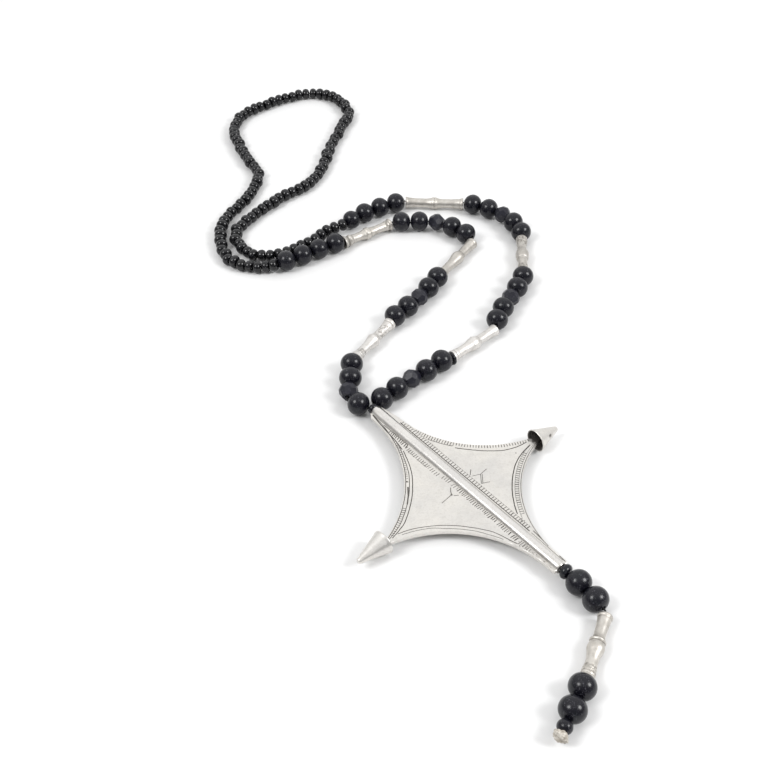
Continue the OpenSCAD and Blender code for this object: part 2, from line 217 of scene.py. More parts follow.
def black_stone(name, roughness, dark, light, tint, dents, ior=1.40):
    """Polished black stone or glass: almost black, with a faint cloud of colour, specks of dust and a slightly
    uneven polish. Roughness is a span, and dents is how deep the dents are in metres."""
    mat, nt, bsdf = new_material(name)
    v = coords(nt)
    cloud = noise(nt, v, 260.0, 4.0, 0.6)
    colour = ramp(nt, cloud, [(0.30, dark), (0.55, light), (0.75, tint)])
    dust = ramp(nt, noise(nt, v, 2600.0, 2.0, 0.5), [(0.60, NONE), (0.70, FULL)])
    nt.links.new(mix(nt, dust, colour, DUST), bsdf.inputs["Base Color"])
    nt.links.new(spread(nt, noise(nt, v, 700.0, 5.0, 0.65), *roughness), bsdf.inputs["Roughness"])
    broad = bump(nt, noise(nt, v, 210.0, 2.0, 0.5), 0.35, dents)
    fine = bump(nt, noise(nt, v, 900.0, 3.0, 0.6), 0.12, dents * 0.15, broad)
    nt.links.new(fine, bsdf.inputs["Normal"])
    bsdf.inputs["IOR"].default_value = ior
    return mat


def silver(name, polish, warm, cool, tarnish_and_shade_colour, blotch):
    """Worn silver: warm and cool areas, hand-hammered unevenness, fine scratches, and darkening where the
    mesh's attribute
    says: tarnish, and on the ridge and plate also painted shade. Polish is the lowest roughness, and blotch how
    strong the stains are."""
    mat, nt, bsdf = new_material(name)
    v = coords(nt)
    base = ramp(nt, noise(nt, v, 90.0, 4.0, 0.6), [(0.30, cool), (0.70, warm)])
    speck = ramp(nt, noise(nt, v, 1500.0, 4.0, 0.7), [(0.32, (0.25, 0.25, 0.25)), (0.50, NONE)])
    cloud = ramp(nt, noise(nt, v, 520.0, 4.0, 0.65), [(0.42, NONE), (0.66, (blotch, blotch, blotch))])
    stained = mix(nt, cloud, mix(nt, speck, base, SPECK), STAIN)
    att = nt.nodes.new("ShaderNodeAttribute")
    att.attribute_name = "tarnish_and_shade"
    tarnish_and_shade = ramp(nt, att.outputs["Fac"], [(0.02, NONE), (0.95, FULL)])
    nt.links.new(mix(nt, tarnish_and_shade, stained, tarnish_and_shade_colour), bsdf.inputs["Base Color"])
    bsdf.inputs["Metallic"].default_value = 1.0
    # tarnish is rougher than bare silver, and the painted shade in the same attribute is made rougher with it
    rough = nt.nodes.new("ShaderNodeMath")
    rough.operation = "MULTIPLY_ADD"
    nt.links.new(tarnish_and_shade, rough.inputs[0])
    rough.inputs[1].default_value = 0.28
    nt.links.new(spread(nt, noise(nt, v, 420.0, 5.0, 0.65), polish, polish + 0.20), rough.inputs[2])
    nt.links.new(rough.outputs[0], bsdf.inputs["Roughness"])
    dents = bump(nt, noise(nt, v, 160.0, 3.0, 0.55), 0.30, 0.00012)
    scratches = bump(nt, noise(nt, coords(nt, (1, 9, 1)), 700.0, 6.0, 0.75), 0.22, 0.00002, dents)
    nt.links.new(scratches, bsdf.inputs["Normal"])
    return mat


def fibre(name, low, high, scale):
    """Matt thread between two colours, with fibres of the given noise scale."""
    mat, nt, bsdf = new_material(name)
    v = coords(nt)
    colour = ramp(nt, noise(nt, v, scale, 5.0, 0.7), [(0.3, low), (0.7, high)])
    nt.links.new(colour, bsdf.inputs["Base Color"])
    bsdf.inputs["Roughness"].default_value = 0.82
    nt.links.new(bump(nt, noise(nt, v, scale * 2.2, 5.0, 0.7), 0.8, 0.0002), bsdf.inputs["Normal"])
    return mat


# ---------------------------------------------------------------- mesh helpers
def make_object(name, verts, faces, mat, tarnish_and_shade=None, domain="POINT", sharp=None):
    """A smooth piece from points in millimetres. The darkening values, from tarnish and on some pieces from
    painted shade, say how dark each point or face is, and edges steeper than sharp, in degrees, stay crisp."""
    mesh = bpy.data.meshes.new(name)
    mesh.from_pydata([tuple(v) for v in np.asarray(verts) * MM], [], faces)
    mesh.materials.append(mat)
    mesh.polygons.foreach_set("use_smooth", np.ones(len(mesh.polygons), bool))
    if tarnish_and_shade is not None:
        att = mesh.attributes.new("tarnish_and_shade", "FLOAT", domain)
        att.data.foreach_set("value", np.asarray(tarnish_and_shade, np.float32))
    mesh.update()
    if sharp is not None:
        mesh.set_sharp_from_angle(angle=math.radians(sharp))
    ob = add_object(name, mesh)
    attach(ob, "root")
    return ob


def heading(a):
    """Level direction at a degrees from X."""
    return np.array([math.cos(math.radians(a)), math.sin(math.radians(a))])


def basis(direction):
    """A nearly level direction as a unit vector, with its side and up vectors."""
    t = np.asarray(direction, float)
    t = t / np.linalg.norm(t)
    n = np.array([-t[1], t[0], 0.0])
    n /= np.linalg.norm(n)
    return t, n, np.cross(t, n)


def turns(sides):
    return np.linspace(0, 2 * math.pi, sides, endpoint=False)


def ring_of(n, b, sides):
    """Unit circle about a direction whose side and up vectors are n and b."""
    a = turns(sides)
    return np.cos(a)[:, None] * n + np.sin(a)[:, None] * b


def ring_faces(rows, sides, closed=True):
    """Quads between rings of points, the last ring joined to the first when closed."""
    faces = []
    for i in range(rows if closed else rows - 1):
        j = (i + 1) % rows
        for k in range(sides):
            q = (k + 1) % sides
            faces.append((i * sides + k, i * sides + q, j * sides + q, j * sides + k))
    return faces


def smoothed(values, width):
    """Running mean over an odd number of values."""
    return np.convolve(np.pad(values, width // 2, mode="edge"), np.ones(width) / width, mode="valid")


class Shell:
    """Vertices, faces and darkening of one piece (tarnish, and painted shade on some pieces), gathered part by
    part.
    """

    def __init__(self):
        self.v, self.f, self.p = [], [], []

    def add(self, verts, faces, tarnish_and_shade=0.0):
        k = len(self.v)
        self.v.extend(np.asarray(verts, float).tolist())
        self.f.extend([tuple(i + k for i in f) for f in faces])
        self.p.extend(np.broadcast_to(tarnish_and_shade, len(verts)).tolist())

    def revolve(self, origin, direction, profile, sides, tarnish_and_shade=None, closed=True):
        """Turns a profile of (along, radius) points about an axis."""
        t, n, b = basis(direction)
        prof = np.asarray(profile, float)
        ring = ring_of(n, b, sides)
        verts = np.asarray(origin)[None, None] + prof[:, None, 0:1] * t + prof[:, None, 1:2] * ring[None]
        shade = 0.0 if tarnish_and_shade is None else np.repeat(np.asarray(tarnish_and_shade, float), sides)
        self.add(verts.reshape(-1, 3), ring_faces(len(prof), sides, closed), shade)


def axis_of(node, angle):
    """Start point and length of a straight CAD piece along its known heading."""
    co = np.array([v.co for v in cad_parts[node].data.vertices]) / MM
    t = heading(angle)
    n = np.array([-t[1], t[0]])
    s, side, up = co[:, :2] @ t, co[:, :2] @ n, co[:, 2]
    start = t * s.min() + n * (side.max() + side.min()) / 2
    return np.array([*start, (up.max() + up.min()) / 2]), s.max() - s.min()


# ---------------------------------------------------------------- seed strand
SEED_WIDTH, SEED_COUNT, SEED_HOLE = 5.2, 110, 0.62
SEED_SIDES, THREAD_SIDES, THREAD_RADIUS = 24, 8, 0.3
# The source's route of the strand between its two ends. Columns: x, y
SEED_ROUTE = [
    (-41, 35), (-49, 36), (-57, 41), (-61, 51), (-62, 62), (-59, 73), (-53, 84), (-49, 96),
    (-49, 104), (-53, 113), (-58, 126), (-62, 141), (-59, 154), (-51, 162), (-40, 169), (-27, 173),
    (-17, 169), (-11, 160), (-9, 151), (-13, 138), (-18, 120), (-21, 105), (-28, 92), (-38, 84),
    (-46, 75), (-54, 64), (-55, 54), (-48, 44), (-38, 43), (-26, 50), (-17, 58),
]
LEFT_LAST, RIGHT_LAST = 209, 225  # headings of the bead strands' last beads
SEED_LEAD, SEED_STEPS = 0.6, 24
SEED_PULL = 0.8  # how strongly the route's ends follow those headings
SEED_DROP = 1.7  # stretches of the route over which the strand sinks to the surface
# How uneven the seeds are: spans of length and radius, turn and dip in degrees, and how far off the thread
SEED_LENGTHS, SEED_RADII = (0.91, 1.0), (0.88, 1.0)
SEED_TURN, SEED_DIP = 9.0, 4.0
SEED_ASIDE, SEED_ZIGZAG = 0.34, 0.14


def seed_curve():
    """The source's centre line of the seed strand, finely sampled."""
    s1, l1 = axis_of("round_bead_15", LEFT_LAST)
    s2, l2 = axis_of("round_bead_31", RIGHT_LAST)
    left_end = s1[:2] + heading(LEFT_LAST) * (l1 + GAP / 2)
    right_end = s2[:2] + heading(RIGHT_LAST) * (l2 + GAP / 2)
    pts = [left_end + heading(LEFT_LAST) * SEED_LEAD]
    pts += [np.array(p, float) + SHIFT for p in SEED_ROUTE]
    pts += [right_end + heading(RIGHT_LAST) * SEED_LEAD]
    last = len(pts) - 1

    def slope(i):
        if i == 0:
            return SEED_PULL * np.linalg.norm(pts[1] - pts[0]) * heading(LEFT_LAST)
        if i == last:
            return -SEED_PULL * np.linalg.norm(pts[i] - pts[i - 1]) * heading(RIGHT_LAST)
        return (pts[i + 1] - pts[i - 1]) / 2

    out = [np.array([*(left_end + heading(LEFT_LAST) * GAP / 2), AXIS_Z])]
    for k in range(last * SEED_STEPS + 1):
        u = k / SEED_STEPS
        i = min(last - 1, int(u))
        t = u - i
        p = ((2 * t**3 - 3 * t**2 + 1) * pts[i] + (t**3 - 2 * t**2 + t) * slope(i)
             + (3 * t**2 - 2 * t**3) * pts[i + 1] + (t**3 - t**2) * slope(i + 1))
        x = min(1.0, min(u, last - u) / SEED_DROP)
        z = SEED_WIDTH / 2 + (AXIS_Z - SEED_WIDTH / 2) * (1 - 3 * x * x + 2 * x**3)
        out.append(np.array([p[0], p[1], z]))
    out.append(np.array([*(right_end + heading(RIGHT_LAST) * GAP / 2), AXIS_Z]))
    return np.array(out)


def seed_profile(length, radius):
    """Half section of a fire-rounded glass seed bead: a fat ring."""
    half, hole = length / 2, SEED_HOLE
    pts = []
    for i in range(13):
        a = math.pi * i / 12
        pts.append((-half * math.cos(a), hole + (radius - hole) * max(0.0, math.sin(a)) ** 0.7))
    return pts + [(half * 0.6, hole * 0.95), (-half * 0.6, hole * 0.95)]


def make_seeds(mat, thread_mat):
    """The seed beads, each a little off the thread and turned, and the thread through them."""
    curve = seed_curve()
    reached = np.concatenate([[0], np.cumsum(np.linalg.norm(np.diff(curve, axis=0), axis=1))])
    rng = random.Random(SEED)
    pitch = reached[-1] / SEED_COUNT

    def point(at):
        return np.array([np.interp(at, reached, curve[:, j]) for j in range(3)])

    shell = Shell()
    for k in range(SEED_COUNT):
        at = (k + 0.5) * pitch
        ahead = point(at + 0.9) - point(at - 0.9)
        ahead /= np.linalg.norm(ahead)
        side = np.array([-ahead[1], ahead[0], 0.0])
        p = point(at)
        length, radius = pitch * 0.95, SEED_WIDTH / 2 * 0.96
        if 0 < k < SEED_COUNT - 1:
            radius = SEED_WIDTH / 2 * rng.uniform(*SEED_RADII)
            length = pitch * rng.uniform(*SEED_LENGTHS)
            turn = math.radians(rng.gauss(0, SEED_TURN))
            dip = math.radians(rng.gauss(0, SEED_DIP))
            p += side * (rng.uniform(-SEED_ASIDE, SEED_ASIDE) + SEED_ZIGZAG * (-1) ** k)
            p[2] -= SEED_WIDTH / 2 - radius
            ahead = ahead + side * math.tan(turn) + np.array([0, 0, math.tan(dip)])
        shell.revolve(p, ahead, seed_profile(length, radius), SEED_SIDES)
    seeds = make_object("seed_beads", shell.v, shell.f, mat, shell.p)
    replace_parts(seeds, "seed_strand")

    line = curve[::6]  # fine enough for the thread
    last, verts = len(line) - 1, []
    for i, p in enumerate(line):
        _, n, b = basis(line[min(i + 1, last)] - line[max(i - 1, 0)])
        verts.extend(p + THREAD_RADIUS * ring_of(n, b, THREAD_SIDES))
    faces = ring_faces(len(line), THREAD_SIDES, closed=False)
    faces.append(tuple(range(THREAD_SIDES))[::-1])
    faces.append(tuple(range(last * THREAD_SIDES, len(verts))))
    make_object("seed_thread", verts, faces, thread_mat, np.zeros(len(verts)))


# ---------------------------------------------------------------- silver tubes
BORE = 1.3  # radius of the hole
HOLE_DARK = 0.9  # tarnish within the bores, and the painted shade on the plate where its tongues run into the cones
GROOVE_DARK, WORKED_DARK, CLOUD_DARK = 0.58, 0.50, 0.16
TUBE_SIDES, TUBE_STEP = 72, 0.10
# Each tube: node, heading, outline as (distance, radius), rings as (distance, half width, height, grains),
# grooves as (distance, half width, depth) and stretches worked all over as (from, to)
TUBES = [
    ("silver_tube_01", 55,
     [(0, 2.3), (0.8, 2.2), (2.2, 1.98), (4.6, 1.76), (7.5, 1.86), (9.8, 2.28), (11.2, 2.62), (12.0, 2.55),
      (12.8, 1.9), (14, 1.80), (18, 1.88), (20.4, 2.08), (21.8, 2.34), (22.5, 2.38)],
     [(1.0, 0.45, 0.08, 14), (2.0, 0.45, 0.08, 14), (11.3, 0.30, 0.05, 0), (21.8, 0.50, 0.10, 0),
      (20.5, 0.30, 0.06, 0)],
     [(1.5, 0.22, 0.06), (2.6, 0.25, 0.05), (12.7, 0.35, 0.05), (21.1, 0.25, 0.07)],
     [(0.4, 4.4), (13.4, 20.2)]),
    ("silver_tube_02", 55,
     [(0, 2.1), (0.6, 2.05), (1.5, 1.9), (4, 1.74), (7.5, 1.84), (10.5, 2.34), (12.2, 2.62), (13.1, 2.44),
      (14.4, 1.84), (16, 1.80), (20, 1.98), (22.6, 2.24), (23.6, 2.30)],
     [(0.5, 0.40, 0.06, 0), (23.1, 0.45, 0.10, 0)],
     [(1.1, 0.22, 0.06), (14.3, 0.45, 0.07), (22.4, 0.22, 0.04)],
     []),
    ("silver_tube_03", 211,
     [(0, 2.5), (0.5, 2.55), (0.9, 2.22), (2.0, 2.1), (4, 1.82), (8, 1.76), (9.6, 2.05), (11, 2.48),
      (12.2, 2.2), (14, 1.76), (17, 1.80), (18.4, 2.05), (19.4, 2.32), (20.2, 2.0), (21.1, 2.3),
      (21.5, 2.58), (22, 2.58)],
     [(2.0, 0.45, 0.08, 0), (10.5, 0.38, 0.12, 0), (11.5, 0.38, 0.12, 0), (19.2, 0.60, 0.16, 0),
      (21.3, 0.45, 0.10, 0)],
     [(1.2, 0.25, 0.07), (12.3, 0.30, 0.05), (18.1, 0.30, 0.06), (20.3, 0.45, 0.14)],
     [(0.3, 3.0)]),
    ("silver_tube_04", 40,
     [(0, 2.2), (0.7, 2.2), (1.6, 2.02), (2.5, 2.0), (5, 1.76), (7.5, 1.92), (9.4, 2.32), (10.8, 2.56),
      (11.6, 2.48), (12.6, 1.92), (14, 1.78), (18, 1.86), (21.0, 2.18), (21.5, 2.24)],
     [(0.6, 0.42, 0.06, 0), (1.9, 0.45, 0.08, 0), (9.6, 0.30, 0.04, 0), (11.0, 0.35, 0.05, 0)],
     [(1.2, 0.28, 0.06), (2.7, 0.28, 0.05), (10.3, 0.22, 0.03), (12.6, 0.35, 0.04)],
     []),
    ("silver_tube_05", 85,
     [(0, 2.28), (0.8, 2.26), (2.6, 2.05), (4.6, 1.78), (7, 1.84), (8.6, 2.42), (10.0, 2.68), (11.2, 2.68),
      (12.6, 2.34), (13.6, 1.82), (16.4, 1.84), (18.6, 2.1), (20.6, 2.26), (21.2, 2.28)],
     [(0.7, 0.42, 0.08, 16), (1.7, 0.42, 0.06, 16), (2.7, 0.40, 0.06, 0), (8.3, 0.35, 0.06, 0),
      (12.4, 0.35, 0.06, 0), (17.4, 0.40, 0.05, 16), (18.5, 0.42, 0.07, 16), (19.5, 0.42, 0.07, 16),
      (20.5, 0.42, 0.07, 16)],
     [(1.2, 0.20, 0.06), (2.2, 0.20, 0.06), (3.3, 0.25, 0.05), (7.7, 0.30, 0.05), (13.0, 0.35, 0.07),
      (18.0, 0.20, 0.06), (19.0, 0.20, 0.06), (20.0, 0.20, 0.06)],
     [(0.3, 4.2), (16.0, 21.0)]),
    ("silver_tube_06", 173,
     [(0, 2.38), (0.7, 2.35), (1.4, 2.16), (3.5, 1.96), (8.5, 1.86), (10.4, 2.10), (11.6, 2.56), (12.4, 2.56),
      (13.6, 2.12), (15.5, 1.86), (20.5, 1.96), (22.6, 2.16), (23.3, 2.35), (24, 2.38)],
     [(0.5, 0.40, 0.04, 0), (11.5, 0.40, 0.07, 0), (12.7, 0.40, 0.07, 0), (23.5, 0.40, 0.04, 0)],
     [(12.1, 0.26, 0.13), (1.25, 0.22, 0.05), (22.75, 0.22, 0.05), (10.9, 0.16, 0.03), (13.1, 0.16, 0.03)],
     []),
    ("silver_tube_07", -113,
     [(0, 2.2), (0.5, 2.3), (1.0, 2.12), (3, 1.92), (6.4, 1.74), (8.0, 1.80), (9.0, 2.38), (9.8, 2.15),
      (10.8, 2.52), (12.0, 2.58), (13.4, 2.1), (15.6, 1.76), (17.4, 1.84), (19.2, 2.06),
      (20.8, 2.14), (21.5, 2.15)],
     [(0.5, 0.42, 0.08, 9), (9.1, 0.42, 0.22, 0), (18.6, 0.42, 0.08, 14), (19.5, 0.42, 0.10, 14),
      (20.4, 0.42, 0.10, 14)],
     [(1.2, 0.25, 0.05), (8.5, 0.30, 0.05), (9.8, 0.30, 0.07), (18.1, 0.20, 0.06), (19.05, 0.20, 0.06),
      (19.95, 0.20, 0.06), (20.9, 0.20, 0.05)],
     [(17.4, 21.3)]),
]
BRIGHT_TUBES = ("silver_tube_01", "silver_tube_04")


def flecks(s, th, rng, pitch, around):
    """Random flecks over a tube's skin, from 0 to 1, pitch millimetres long and around of them to a turn."""
    rows = int(s[-1] / pitch) + 3
    grid = rng.random((rows, around))
    i, j = s / pitch, th / (2 * math.pi) * around
    i0, j0 = i.astype(int), j.astype(int)
    u, w = (i - i0)[:, None], (j - j0)[None]
    u, w = u * u * (3 - 2 * u), w * w * (3 - 2 * w)
    a, b = grid[i0][:, j0 % around], grid[i0][:, (j0 + 1) % around]
    c, d = grid[i0 + 1][:, j0 % around], grid[i0 + 1][:, (j0 + 1) % around]
    return (a * (1 - w) + b * w) * (1 - u) + (c * (1 - w) + d * w) * u


def softened(s, outline):
    """Radius at each distance: the outline with its corners rounded, but crisp at both ends."""
    pts = np.array(outline, float)
    r = np.interp(s, pts[:, 0] * s[-1] / pts[-1, 0], pts[:, 1])
    soft = smoothed(smoothed(r, 11), 11)
    share = np.clip((np.minimum(s, s[-1] - s) - 0.3) / 0.9, 0, 1)
    return soft * share + r * (1 - share)


def make_tube(mat, row, seed):
    """A silver tube, turned from its row of the table, with tarnish in its grooves and worked stretches."""
    node, angle, outline, rings, grooves, worked = row
    start, length = axis_of(node, angle)
    s = np.linspace(0, length, int(round(length / TUBE_STEP)) + 1)
    th = turns(TUBE_SIDES)
    rr = np.repeat(softened(s, outline)[:, None], TUBE_SIDES, axis=1)
    rng = np.random.default_rng(seed)
    ph = rng.uniform(0, 6.28, 6)
    for at, half, out, grains in rings:
        env = (np.clip(1 - ((s - at) / half) ** 2, 0, 1) ** 0.8)[:, None]
        beads = 1.0
        if grains:
            beads = 0.35 + 0.65 * np.abs(np.cos(grains * th / 2 + ph[0] + 1.7 * at))[None]
        rr = rr + out * env * beads
    for at, half, depth in grooves:
        env = np.clip(1 - np.abs(s[:, None] - at - 0.06 * np.sin(2 * th[None] + ph[1] + at)) / half, 0, 1)
        rr = rr - depth * env * env * (3 - 2 * env)
    # tarnish gathers where the skin lies below the mean round it
    mean = np.stack([smoothed(c, 17) for c in rr.T]).T
    tarnish_and_shade = GROOVE_DARK * np.clip((mean - rr - 0.008) / 0.11, 0, 1)
    fine = np.clip((flecks(s, th, rng, 0.55, 22) - 0.45) / 0.3, 0, 1)
    for low, high in worked:
        mask = np.clip(np.minimum(s - low, high - s) / 0.5, 0, 1)[:, None]
        rr = rr - 0.06 * mask * fine
        tarnish_and_shade = np.maximum(tarnish_and_shade, WORKED_DARK * mask * fine)
    cloud = np.clip((flecks(s, th, rng, 1.3, 10) - 0.45) / 0.45, 0, 1)
    tarnish_and_shade = np.maximum(tarnish_and_shade, CLOUD_DARK * cloud)
    # hand-made unevenness, none of it at the ends
    fade = np.clip(np.minimum(s, length - s) / 1.0, 0, 1)[:, None]
    rr = rr - 0.03 * fade * flecks(s, th, rng, 1.8, 7)
    rr = rr - 0.02 * fade * (1 + np.sin(2 * th[None] + ph[2] + 0.35 * s[:, None]))
    rr = rr - 0.012 * fade * (1 + np.sin(3 * th[None] + ph[3] - 0.9 * s[:, None]))
    t, n, b = basis([*heading(angle), 0])
    ring = ring_of(n, b, TUBE_SIDES)
    outer = start + s[:, None, None] * t + rr[:, :, None] * ring[None]
    inner = [start + x * t + BORE * ring for x in (length, length - 0.9, 0.9, 0.0)]
    verts = np.concatenate([outer.reshape(-1, 3)] + inner)
    faces = ring_faces(len(s) + len(inner), TUBE_SIDES)
    shade = np.concatenate([tarnish_and_shade.ravel(), np.full(len(inner) * TUBE_SIDES, HOLE_DARK)])
    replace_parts(make_object("turned_" + node, verts, faces, mat, shade, sharp=50), node)


# ---------------------------------------------------------------- pendant
# Lengths here are in the pendant's own frame: X down the ridge, Y to the far side, Z up from the ridge's axis
RIDGE_MIDDLE = np.array([25.8, -85.2]) + SHIFT
RIDGE_HEADING = -52.6
RIDGE_HALF = 43.6
RIDGE_TOP, RIDGE_FOOT, RIDGE_BORE = 2.2, 1.9, 1.2
RIDGE_SIDES = CONE_SIDES = 72
PLATE_HALF = 0.7
END_X, END_Y = 43.5, 2.4  # the plate's corners under the ridge's ends
# The plate's blank and the circles that cut its concave edges. A cut: centre x, y and radius
BLANK = np.array([(-END_X, -END_Y), (-END_X, END_Y), (-35, 3.9), (-10, 39), (10, 39), (END_X, END_Y),
                  (END_X, -END_Y), (10, -37), (-10, -37)])
CUTS = {
    "top_far": (-36, 41, 37.3), "foot_far": (39.5, 41, 38.2),
    "foot_near": (40.5, -40, 37.2), "top_near": (-41.5, -50.3, 47),
}
# The tongues that hold the cones, by side: x of the middle and how far out the end is
TONGUES = {1: (1.4, 38.2), -1: (2.75, 41.4)}
TONGUE_HALF = 0.6
FACE_INSET = 0.10
# The cone caps: middles of the mouth and the tip as x, y, and depth of the hollow
CONES = ((1.2, 31, 1.7, 40.4, 6.4), (2.0, -33.4, 3.0, -44.1, 7.4))
CONE_RADIUS, CONE_TIP, CONE_WALL = 4.0, 0.8, 0.55
RIB_PITCH, RIB_DEPTH, CONE_DARK = 0.85, 0.13, 0.86
# Points between the cuts: reach and step along x and y, jitter and room kept to a cut
GRID_REACH, GRID_STEP, GRID_JITTER, GRID_CLEAR = (42.0, 36.0), (1.4, 1.25), 0.25, 0.25


def to_world(points):
    """Points of the pendant's own frame in the necklace's."""
    p = np.asarray(points, float)
    u = heading(RIDGE_HEADING)
    v = np.array([-u[1], u[0]])
    out = np.empty_like(p)
    out[:, :2] = RIDGE_MIDDLE + p[:, :1] * u + p[:, 1:2] * v
    out[:, 2] = p[:, 2] + AXIS_Z
    return out


def inside(poly, p):
    """Whether a point lies within a closed outline."""
    x, y = p
    a, b = poly, np.roll(poly, -1, axis=0)
    cross = (a[:, 1] > y) != (b[:, 1] > y)
    with np.errstate(divide="ignore", invalid="ignore"):
        at = a[:, 0] + (y - a[:, 1]) / (b[:, 1] - a[:, 1]) * (b[:, 0] - a[:, 0])
    return bool((cross & (x < at)).sum() % 2)


def on_cut(name, turn, inward=0.0):
    """Point of a concave edge: turn is in degrees from where it runs along the ridge, inward is in mm."""
    cx, cy, r = CUTS[name]
    a, reach = math.radians(turn), r + inward
    return (cx - math.copysign(1, cx) * reach * math.sin(a), cy - math.copysign(1, cy) * reach * math.cos(a))


def cut_arc(name, side_x, step):
    """Points of one concave edge from the ridge's end to the side corner at x = side_x."""
    cx, _, r = CUTS[name]
    turn = -math.degrees(math.asin(min(1.0, (END_X - 0.1 - abs(cx)) / r)))
    out = []
    while turn < 85:
        p = on_cut(name, turn)
        if (p[0] - side_x) * cx < 0:
            break
        out.append(p)
        turn += math.degrees(step / r)
    return out


def plate_outline():
    """The plate's edge, counter-clockwise, from its four cuts and its two tongues."""
    def side(name, y_sign):
        cx, cy, r = CUTS[name]
        x_stop = TONGUES[y_sign][0] + math.copysign(TONGUE_HALF, cx)
        arc = [p for p in cut_arc(name, x_stop, 0.7) if inside(BLANK, p)]
        return arc, (x_stop, cy - y_sign * math.sqrt(r * r - (x_stop - cx) ** 2))
    far_top, far_top_end = side("top_far", 1)
    far_foot, far_foot_end = side("foot_far", 1)
    near_foot, near_foot_end = side("foot_near", -1)
    near_top, near_top_end = side("top_near", -1)
    far_tip, near_tip = TONGUES[1][1], -TONGUES[-1][1]
    pts = [(-END_X, END_Y)] + far_top
    pts += [far_top_end, (far_top_end[0], far_tip), (far_foot_end[0], far_tip), far_foot_end]
    pts += far_foot[::-1] + [(END_X, END_Y), (END_X, -END_Y)] + near_foot
    pts += [near_foot_end, (near_foot_end[0], near_tip), (near_top_end[0], near_tip), near_top_end]
    pts += near_top[::-1] + [(-END_X, -END_Y)]
    return np.array(pts[::-1])


def inset(points, d):
    """Moves a counter-clockwise outline inwards by d."""
    p = np.asarray(points)
    a, c = np.roll(p, 1, axis=0), np.roll(p, -1, axis=0)
    e0 = (p - a) / np.linalg.norm(p - a, axis=1)[:, None]
    e1 = (c - p) / np.linalg.norm(c - p, axis=1)[:, None]
    n0, n1 = np.c_[-e0[:, 1], e0[:, 0]], np.c_[-e1[:, 1], e1[:, 0]]
    m = n0 + n1
    m = m / np.linalg.norm(m, axis=1)[:, None]
    k = np.clip((m * n0).sum(1), 0.35, 1)
    return p + m * (d / k)[:, None]


# Engraved lines that follow the concave edges. Each: edge, stations as (turn in degrees, distance inward), half
# width, depth and how dark
EDGE_LINES = [
    ("top_far", [(71.0, 1.1), (66.9, 1.9), (64.6, 2.35), (57.7, 2.95), (47.0, 2.6), (40.5, 2.4), (35.5, 2.5)],
     0.15, 0.12, 0.95),
    ("top_far", [(34.5, 1.95), (21.2, 2.05)], 0.13, 0.11, 0.85),
    ("foot_far", [(72.5, 0.32), (6.0, 0.32)], 0.11, 0.09, 0.75),
    ("foot_far", [(72.0, 0.7), (66.0, 0.95), (27.0, 0.95)], 0.08, 0.07, 0.55),
    ("foot_far", [(71.0, 1.3), (65.0, 2.0), (59.0, 2.15), (24.5, 2.15)], 0.08, 0.07, 0.60),
    ("foot_far", [(72.0, 1.5), (68.6, 1.85), (65.1, 2.3), (60.7, 2.75), (56.9, 3.0), (27.5, 3.05)],
     0.16, 0.12, 0.95),
    ("top_near", [(-1.0, 1.1), (11.8, 0.6), (20.0, 0.5), (69.0, 0.45)], 0.12, 0.10, 0.85),
    ("top_near", [(20.0, 1.25), (26.4, 1.3), (34.4, 1.65), (50.0, 1.65), (60.0, 1.6), (68.0, 0.85)],
     0.12, 0.10, 0.85),
    ("top_near", [(22.5, 1.9), (26.0, 2.06), (33.7, 2.6), (44.0, 2.7), (58.8, 2.7), (67.0, 1.5)],
     0.14, 0.11, 0.90),
    ("foot_near", [(73.0, 2.2), (67.8, 2.45), (50.6, 2.3), (37.8, 1.95), (30.5, 2.0), (20.3, 0.9)],
     0.13, 0.10, 0.85),
    ("foot_near", [(72.5, 1.4), (58.0, 1.6), (52.1, 1.07), (37.1, 0.78), (31.8, 0.55), (24.4, 0.38)],
     0.11, 0.09, 0.75),
]
# Rungs between such lines. Each: edge, first and last turn, distances inward from and to, pitch, half width
EDGE_RUNGS = [
    ("top_far", 72.0, 35.5, 0.32, 1.35, 0.90, 0.13),
    ("top_far", 34.5, 5.0, 0.32, 1.80, 0.90, 0.13),
    ("foot_far", 66.0, 27.0, 1.02, 2.08, 0.90, 0.14),
    ("top_near", 19.0, 37.0, 0.62, 1.20, 0.82, 0.11),
    ("top_near", 51.8, 66.0, 0.55, 1.50, 0.85, 0.12),
]
# The little scratched star on both sides of the ridge, and a few stray marks. Each: start, end, half width
STAR = [
    ((0.6, 9.9), (1.0, 7.0), 0.11), ((1.0, 7.0), (4.1, 4.5), 0.11), ((1.3, 7.4), (4.4, 4.9), 0.10),
    ((5.3, 7.0), (4.1, 4.5), 0.11), ((-2.5, 6.0), (-0.9, 4.3), 0.12), ((-0.1, 4.4), (1.0, 7.0), 0.11),
    ((-0.9, -4.0), (0.3, -5.0), 0.12), ((0.3, -5.0), (1.3, -5.6), 0.13), ((1.3, -5.6), (1.7, -5.8), 0.30),
    ((1.5, -5.8), (2.2, -10.3), 0.12), ((2.2, -5.4), (3.1, -4.2), 0.12),
    ((-11.8, -12.95), (-11.6, -12.75), 0.34), ((1.4, 21.8), (1.7, 22.0), 0.16),
    ((-9.7, -14.1), (-7.0, -16.2), 0.26), ((-7.0, -16.2), (-4.4, -18.8), 0.22),
]
